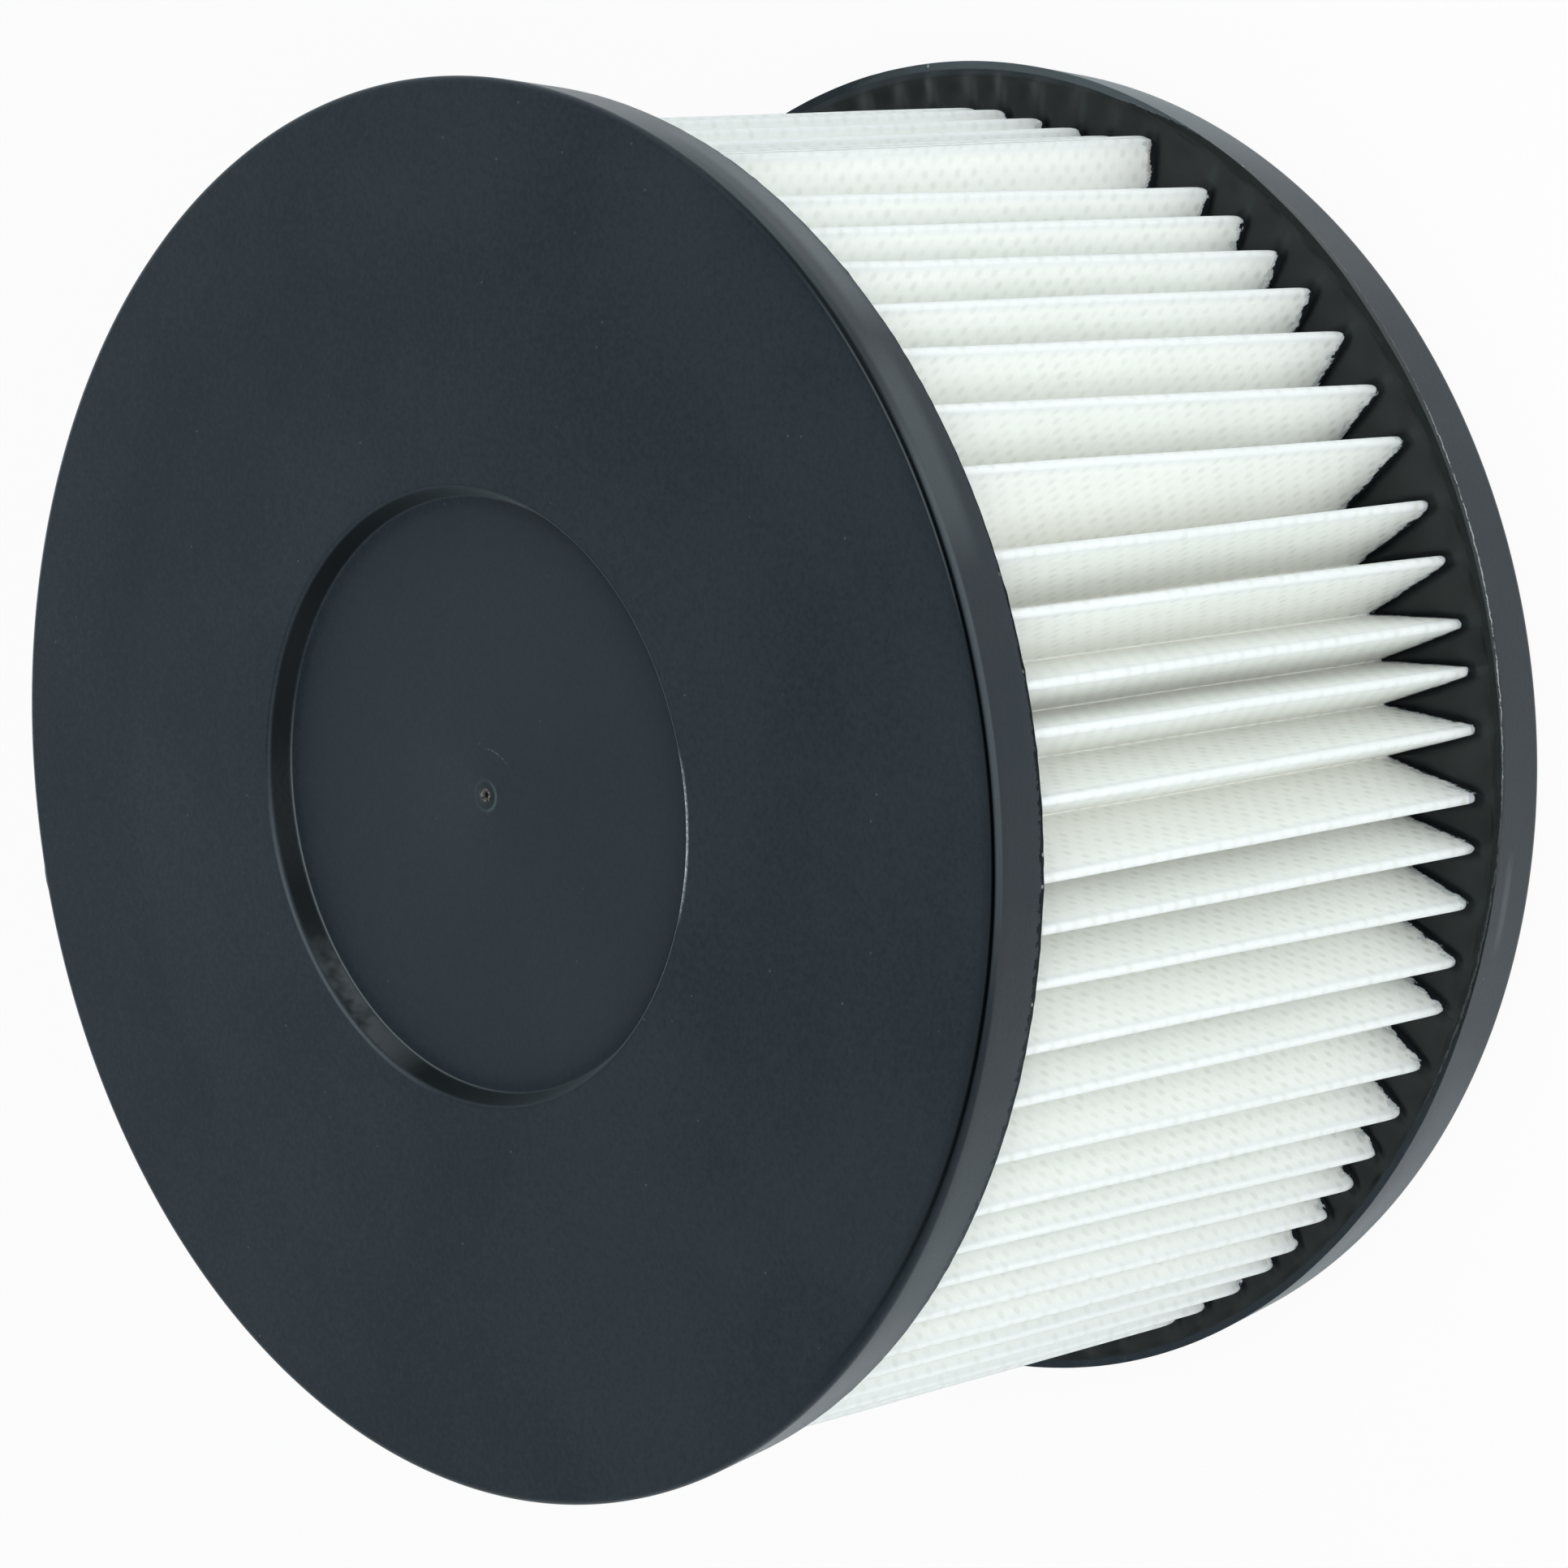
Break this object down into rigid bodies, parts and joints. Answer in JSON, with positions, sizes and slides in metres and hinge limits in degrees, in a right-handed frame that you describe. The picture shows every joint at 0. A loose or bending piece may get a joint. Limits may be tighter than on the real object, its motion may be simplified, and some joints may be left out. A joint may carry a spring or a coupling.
{
  "type": "pleated vacuum filter",
  "caption": "Round pleated filter cartridge with a closed end plate, an open end ring with gasket, and an inner support cage.",
  "frame": {"origin": "centre of the gasket's lower face, which the cartridge stands on", "axes": "+Z along the cartridge's axis, from the open end up to the closed end plate"},
  "size_m": [0.181, 0.181, 0.105],
  "materials": {
    "end_caps": "satin",
    "media": "matte",
    "cage": "satin",
    "potting": "satin",
    "gasket": "matte"
  },
  "bodies": {
    "root": {"closed_end_plate": "end_caps", "open_end_ring": "end_caps", "pleated_media": "media", "support_cage": "cage", "potting_closed": "potting", "potting_open": "potting", "gasket": "gasket"}
  },
  "joints": []
}
